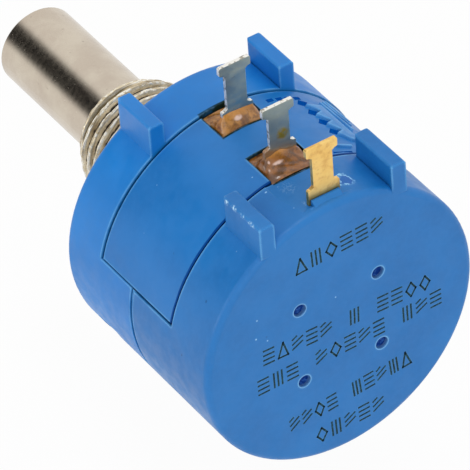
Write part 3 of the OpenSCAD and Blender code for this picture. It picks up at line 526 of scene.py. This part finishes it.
# Nodes that take another node's material
SHARED = {
    "rear_element_lead": "front_element_lead",
    "wiper_carriage": "rotor",
    "collector_strip": "rear_terminal",
    "slip_ring": "rear_terminal",
    "thrust_washer": "collector_brush",
    "wiper_contact": "collector_brush",
    "carriage_brush": "collector_brush",
}
for node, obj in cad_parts.items():
    material = MATERIALS[SHARED.get(node, node)]
    for slot in obj.material_slots:
        slot.material = material


# Mesh helpers
def add_mesh(name, points, faces, material, body="housing", smooth=True):
    mesh = bpy.data.meshes.new(name)
    mesh.from_pydata([tuple(p) for p in points], [], faces)
    mesh.validate()
    mesh.update()
    mesh.materials.append(material)
    mesh.shade_smooth() if smooth else mesh.shade_flat()
    obj = bpy.data.objects.new(name, mesh)
    bpy.context.scene.collection.objects.link(obj)
    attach(obj, body)
    return obj


# Threaded bushing
def thread_groove(phase):
    """Depth of the thread's groove, 0 at the crest and 1 at the root, for a phase from 0 to 1."""
    away = abs(phase - 0.5) * 2
    return min(1.0, max(0.0, (1.0 - away) * 1.7 - 0.45))


class Wander:
    """Smooth random numbers from -1 to 1 over a grid that closes round the axis."""

    def __init__(self, rows, columns, seed):
        rand = random.Random(seed)
        self.grid = [[rand.uniform(-1, 1) for _ in range(columns)] for _ in range(rows + 2)]
        self.rows, self.columns = rows, columns

    def at(self, along, round_share):
        a, b = along * self.rows, round_share * self.columns
        i, j = int(a), int(b)
        u, v = a - i, b - j
        near = self.grid[i][j % self.columns] * (1 - v) + self.grid[i][(j + 1) % self.columns] * v
        far = self.grid[i + 1][j % self.columns] * (1 - v) + self.grid[i + 1][(j + 1) % self.columns] * v
        return near * (1 - u) + far * u


def make_bushing():
    """Bushing with its thread cut in, the same outside as the solid."""
    around, rows_per_pitch, depth, runout, ramp = 192, 14, 0.47, 0.55, 0.5
    burr_height, wave_share = 0.045, 0.07
    rows = int(THREAD_LENGTH / THREAD_PITCH * rows_per_pitch)
    burrs = Wander(rows // 3, 90, SEED)
    waves = Wander(12, 9, SEED + 1)
    points, faces = [], []
    for row in range(rows + 1):
        along = THREAD_LENGTH * row / rows
        for column in range(around):
            share = column / around
            wave = wave_share * waves.at(row / rows, share)
            phase = (along / THREAD_PITCH + share + THREAD_PHASE + wave) % 1.0
            fade = min(1.0, max(0.0, (along - runout) / ramp))
            taper = LEAD_IN_DEPTH * max(0.0, 1.0 - (THREAD_LENGTH - along) / LEAD_IN_LENGTH)
            nose = min(1.0, (THREAD_LENGTH - along) / NOSE_LENGTH)
            groove = depth * thread_groove(phase) * fade * nose
            rough = burr_height * (burrs.at(row / rows, share) - 1.0) * fade
            radius = min(THREAD_RADIUS - groove, THREAD_RADIUS - taper - 0.4 * groove * taper) + rough
            angle = 2 * math.pi * share
            points.append(place(radius * math.cos(angle), -along, radius * math.sin(angle)))
    ring = [
        (BORE_RADIUS + MOUTH_CHAMFER, -THREAD_LENGTH), (BORE_RADIUS, -THREAD_LENGTH + MOUTH_CHAMFER),
        (BORE_RADIUS, FLANGE_REAR), (FLANGE_RADIUS, FLANGE_REAR), (FLANGE_RADIUS, FLANGE_FRONT),
        (COLLAR_RADIUS, FLANGE_FRONT), (COLLAR_RADIUS, 0.0), (THREAD_RADIUS, 0.0),
    ]
    for radius, depth_here in ring:
        for column in range(around):
            angle = 2 * math.pi * column / around
            points.append(place(radius * math.cos(angle), depth_here, radius * math.sin(angle)))
    total = rows + 1 + len(ring)
    for k in range(total):
        here, there = k * around, (k + 1) % total * around
        for column in range(around):
            after = (column + 1) % around
            faces.append((here + column, there + column, there + after, here + after))
    made = add_mesh("bushing_with_thread", points, faces, MATERIALS["threaded_bushing"])
    made.data.set_sharp_from_angle(angle=math.radians(32))
    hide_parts("threaded_bushing")


make_bushing()


# Potting
# Half width and height of the resin, half width of a terminal and how far the resin climbs round it
POTTING_HALF, POTTING_TOP, TERMINAL_HALF, CLIMB_REACH = 1.83, 10.79, 1.28, 0.46
# Underside of the resin in the window, and the two heights of its foot beside the element
POTTING_FLOOR, FOOT_BOTTOM, FOOT_TOP = 9.32, 9.34, 9.85
LUMP_HEIGHT = 0.16


def make_potting(name, node, start, end, under_start, under_end, terminal, crest, seed):
    """Cast resin, low at the window's walls and drawn up on the terminal."""
    rand = random.Random(seed)
    half = POTTING_HALF
    waves = [(rand.uniform(1.5, 5.0), rand.uniform(1.5, 5.0), rand.uniform(0, 6.28)) for _ in range(8)]
    columns, rows = 64, 52
    points, faces = [], []
    for row in range(rows + 1):
        depth = start + (end - start) * row / rows
        for column in range(columns + 1):
            x = -half + 2 * half * column / columns
            beside = max(0.0, abs(x) - TERMINAL_HALF + 0.08)
            behind = max(0.0, abs(depth - terminal) - 0.15)
            away = math.hypot(beside, behind if depth > terminal else behind * 1.5)
            climb = crest * math.exp(-away / CLIMB_REACH) * (1.0 - 0.08 * max(0.0, -x / TERMINAL_HALF))
            wall = min(half - abs(x), depth - start, end - depth)
            lump = sum(math.sin(a * x + b * depth * 1.6 + c) for a, b, c in waves) / len(waves)
            settle = min(1.0, wall / 0.3)
            height = math.sqrt(POTTING_TOP ** 2 - x ** 2) + (climb + LUMP_HEIGHT * lump) * settle
            points.append(place(x, depth, height))
    width = columns + 1
    for row in range(rows):
        for column in range(columns):
            a = row * width + column
            faces.append((a, a + 1, a + width + 1, a + width))
    edge = list(range(columns + 1))
    edge += [r * width + columns for r in range(1, rows + 1)]
    edge += [rows * width + c for c in range(columns - 1, -1, -1)]
    edge += [r * width for r in range(rows - 1, 0, -1)]
    first = len(points)
    for index in edge:
        points.append(Vector((points[index].x, points[index].y, POTTING_FLOOR * MM)))
    count = len(edge)
    for k in range(count):
        after = (k + 1) % count
        faces.append((edge[after], edge[k], first + k, first + after))
    faces.append(tuple(first + k for k in range(count)))
    low = len(points)
    for x in (-half, half):
        for depth in (under_start, under_end):
            for height in (FOOT_BOTTOM, FOOT_TOP):
                points.append(place(x, depth, height))
    for quad in ((0, 1, 3, 2), (4, 6, 7, 5), (0, 4, 5, 1), (2, 3, 7, 6), (0, 2, 6, 4), (1, 5, 7, 3)):
        faces.append(tuple(low + q for q in quad))
    made = add_mesh(name, points, faces, MATERIALS[node])
    made.data.set_sharp_from_angle(angle=math.radians(40))
    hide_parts(node)


make_potting("front_potting_cast", "front_potting", 5.57, 8.28, 4.77, 8.28, 7.35, 1.2, 3)
make_potting("middle_potting_cast", "middle_potting", 11.22, 14.33, 11.22, 15.63, 12.60, 0.95, 5)


# Marks
def slab(points, faces, corners, bottom, top):
    """Adds a flat plate over a plan of corners; bottom and top map a corner to a point."""
    first = len(points)
    count = len(corners)
    points.extend(bottom(c) for c in corners)
    points.extend(top(c) for c in corners)
    faces.append(tuple(first + k for k in range(count)))
    faces.append(tuple(first + 2 * count - 1 - k for k in range(count)))
    for k in range(count):
        after = (k + 1) % count
        faces.append((first + after, first + k, first + count + k, first + count + after))


INK_LINE = 0.15
INK_HEIGHT = 1.24
INK_SUNK = 0.02
INK_RISE = 0.006
# Share of a cell that is left free before a mark, and the share that the mark takes
CELL_MARGIN, CELL_FILLED = 0.14, 0.68
# Start and end of each row on the rear face, and how many marks its groups have
PRINT_ROWS = [
    ((3.49, 6.51), (-4.07, 6.92), (6,)), ((6.57, -0.03), (-7.67, -0.39), (5, 1, 4)),
    ((7.15, -2.49), (-8.53, -2.25), (3, 5, 3)), ((4.72, -7.32), (-5.77, -6.36), (4, 5)),
    ((2.66, -9.53), (-3.31, -9.27), (5,)),
]
# Strokes of the plain marks, from corner to corner of a cell one wide and one high
PLAIN_MARKS = [
    [((0, 0), (1, 0)), ((0, 0.33), (1, 0.33)), ((0, 0.66), (1, 0.66)), ((0, 1), (1, 1))],
    [((0.1, 0), (0.1, 1)), ((0.5, 0), (0.5, 1)), ((0.9, 0), (0.9, 1))],
    [((0, 0), (1, 0)), ((0, 0), (0.5, 1)), ((1, 0), (0.5, 1))],
    [((0.5, 0), (1, 0.5)), ((1, 0.5), (0.5, 1)), ((0.5, 1), (0, 0.5)), ((0, 0.5), (0.5, 0))],
    [((0, 0.15), (1, 0.5)), ((0, 0.5), (1, 0.85)), ((0, 0.85), (0.4, 1))],
]


def make_print():
    """Rows of plain marks, in place of the words."""
    rand = random.Random(SEED)
    points, faces = [], []
    for start, end, words in PRINT_ROWS:
        cells = sum(words) + len(words) - 1
        across = Vector((end[0] - start[0], end[1] - start[1]))
        step = across.length / cells
        along = across.normalized()
        up = Vector((along.y, -along.x))
        position = 0
        for word in words:
            for _ in range(word):
                origin = Vector(start) + along * step * (position + CELL_MARGIN)
                for (ax, ay), (bx, by) in rand.choice(PLAIN_MARKS):
                    a = origin + along * step * CELL_FILLED * ax + up * INK_HEIGHT * ay
                    b = origin + along * step * CELL_FILLED * bx + up * INK_HEIGHT * by
                    run = (b - a).normalized()
                    side = Vector((-run.y, run.x)) * INK_LINE / 2
                    a, b = a - run * INK_LINE / 2, b + run * INK_LINE / 2
                    slab(points, faces, [a - side, b - side, b + side, a + side],
                         lambda c: place(c.x, BODY_DEPTH - INK_SUNK, c.y),
                         lambda c: place(c.x, BODY_DEPTH + INK_RISE, c.y))
                position += 1
            position += 1
    made = add_mesh("rear_print", points, faces, MATERIALS["ink_and_shade"], smooth=False)


make_print()


def on_panel(corner, rise):
    """Point over the panel for an arc length from the top and a depth."""
    angle = corner[0] / PANEL_RADIUS
    radius = PANEL_RADIUS + rise
    return place(radius * math.sin(angle), corner[1], radius * math.cos(angle))


RELIEF_SUNK = 0.06
RELIEF_TEETH = 4
RELIEF_START = 7.7
RELIEF_PITCH = 1.3
NOTCH_SHIFT = 0.8


def relief_strip():
    """Saw-toothed strip along the panel, as arcs from the top and depths."""
    corners = [(-7.1, RELIEF_START - 0.1)]
    for tooth in range(RELIEF_TEETH):
        tip = RELIEF_START + tooth * RELIEF_PITCH
        corners += [(-5.55, tip), (-6.35, tip + NOTCH_SHIFT)]
    corners.append((-7.1, corners[-1][1]))
    return [corners]


def relief_bars():
    """Three raised lines beside the strip, and one along the panel's rear edge."""
    bars = [[(-4.3, 13.05), (-5.6, 13.2), (-5.6, 13.4), (-4.3, 13.25)]]
    for bar in range(3):
        arc, front, rear = -7.42 - 0.52 * bar, 7.0 - 0.3 * bar, 10.6 - 0.8 * bar
        bars.append([(arc, front), (arc - 0.2, front), (arc - 0.56, rear), (arc - 0.34, rear)])
    return bars


def relief_steps():
    """Dark plates of painted shade: steps in the strip's notches, dashes at the panel's front and a line at
    its rear.
    """
    steps = [[(-3.58, 13.8), (-5.15, 13.9), (-5.15, 14.05), (-3.58, 13.95)]]
    for tooth in range(RELIEF_TEETH):
        notch = RELIEF_START + tooth * RELIEF_PITCH - (RELIEF_PITCH - NOTCH_SHIFT)
        steps.append([(-6.15, notch), (-5.5, notch - 0.3), (-5.05, notch + 0.25), (-5.5, notch + 0.55)])
    for dash in range(4):
        arc = -2.9 - 0.8 * dash
        steps.append([(arc, 6.5), (arc - 0.55, 6.45), (arc - 0.55, 6.8), (arc, 6.85)])
    return steps


def make_relief(name, shapes, rise, material):
    """Raised steps and lines of a plain pattern, in place of the moulded sign; with the shade material they
    are thin dark plates of painted shade.
    """
    points, faces = [], []
    for corners in shapes:
        slab(points, faces, corners, lambda c: on_panel(c, -RELIEF_SUNK), lambda c: on_panel(c, rise))
    made = add_mesh(name, points, faces, material, smooth=False)
    bevel = made.modifiers.new("soft_edges", "BEVEL")
    bevel.width = 0.3 * rise * MM
    bevel.segments = 2


make_relief("panel_strip", relief_strip(), 0.20, MATERIALS["element_housing"])
make_relief("panel_bars", relief_bars(), 0.17, MATERIALS["element_housing"])
make_relief("panel_steps", relief_steps(), 0.03, MATERIALS["relief_shade"])


# Stage and lights
FLOOR_HALF, FLOOR_HEIGHT = 3.0, -0.030
FLOOR_GLOW = 0.92
DIFFUSE_LEVEL = 0.84
# Where the dark patch lies, and the cosines at its rim and at its core
PATCH_WAY = Vector((0.61, -0.62, 0.50)).normalized()
PATCH_RIM, PATCH_CORE = 0.86, 0.975


def make_stage():
    """Pale floor that shows plain white to the camera and in reflections."""
    s = Shader("stage_white")
    tree = s.tree
    tree.nodes.remove(s.bsdf)
    diffuse = s.node("ShaderNodeBsdfDiffuse")
    diffuse.inputs["Color"].default_value = (0.93, 0.93, 0.92, 1)
    glow = s.node("ShaderNodeEmission")
    glow.inputs["Color"].default_value = (1, 1, 1, 1)
    glow.inputs["Strength"].default_value = 1.0
    path = s.node("ShaderNodeLightPath")
    seen = s.math("MAXIMUM", path.outputs["Is Camera Ray"], path.outputs["Is Glossy Ray"])
    seen = s.math("MAXIMUM", seen, path.outputs["Is Transmission Ray"])
    share = s.math("MULTIPLY", seen, FLOOR_GLOW)
    blend = s.node("ShaderNodeMixShader")
    s.link(share, blend.inputs[0])
    s.link(diffuse.outputs[0], blend.inputs[1])
    s.link(glow.outputs[0], blend.inputs[2])
    s.link(blend.outputs[0], tree.nodes["Material Output"].inputs["Surface"])
    mesh = bpy.data.meshes.new("floor")
    signs = ((-1, -1), (1, -1), (1, 1), (-1, 1))
    corners = [(a * FLOOR_HALF, b * FLOOR_HALF, FLOOR_HEIGHT) for a, b in signs]
    mesh.from_pydata(corners, [], [(0, 1, 2, 3)])
    mesh.materials.append(s.material)
    floor = bpy.data.objects.new("floor", mesh)
    bpy.context.scene.collection.objects.link(floor)


def make_world():
    """White surroundings, but for a soft dark patch that the shaft mirrors as its band."""
    world = bpy.data.worlds.new("studio")
    bpy.context.scene.world = world
    world.use_nodes = True
    tree = world.node_tree
    background = tree.nodes["Background"]
    background.inputs["Color"].default_value = (1, 1, 1, 1)
    direction = tree.nodes.new("ShaderNodeTexCoord")
    dot = tree.nodes.new("ShaderNodeVectorMath")
    dot.operation = "DOT_PRODUCT"
    tree.links.new(direction.outputs["Generated"], dot.inputs[0])
    dot.inputs[1].default_value = PATCH_WAY
    dark = tree.nodes.new("ShaderNodeMapRange")
    dark.interpolation_type = "SMOOTHSTEP"
    tree.links.new(dot.outputs["Value"], dark.inputs["Value"])
    numbers = {"From Min": PATCH_RIM, "From Max": PATCH_CORE, "To Min": 1.0, "To Max": 0.0}
    for name, number in numbers.items():
        dark.inputs[name].default_value = number

    def combine(operation, a, b):
        made = tree.nodes.new("ShaderNodeMath")
        made.operation = operation
        for socket, value in zip(made.inputs, (a, b)):
            if isinstance(value, bpy.types.NodeSocket):
                tree.links.new(value, socket)
            else:
                socket.default_value = value
        return made.outputs[0]

    rays = tree.nodes.new("ShaderNodeLightPath").outputs
    mirrored = combine("MAXIMUM", rays["Is Glossy Ray"], rays["Is Transmission Ray"])
    level = combine("MAXIMUM", mirrored, DIFFUSE_LEVEL)
    strength = combine("MAXIMUM", combine("MULTIPLY", dark.outputs["Result"], level), rays["Is Camera Ray"])
    tree.links.new(strength, background.inputs["Strength"])


def make_lamp(name, place_at, size, power):
    """Round area lamp that faces the part."""
    data = bpy.data.lights.new(name, "AREA")
    data.shape = "DISK"
    data.size = size
    data.energy = power
    lamp = bpy.data.objects.new(name, data)
    lamp.location = place_at
    lamp.rotation_mode = "QUATERNION"
    lamp.rotation_quaternion = (-Vector(place_at)).to_track_quat("-Z", "Y")
    bpy.context.scene.collection.objects.link(lamp)


make_stage()
make_world()
make_lamp("key", (0.03, 0.07, 0.60), 0.14, 0.5)
make_lamp("rear", (0.20, 0.55, 0.25), 0.40, 0.4)
make_lamp("side", (0.60, -0.10, 0.12), 0.30, 0.5)
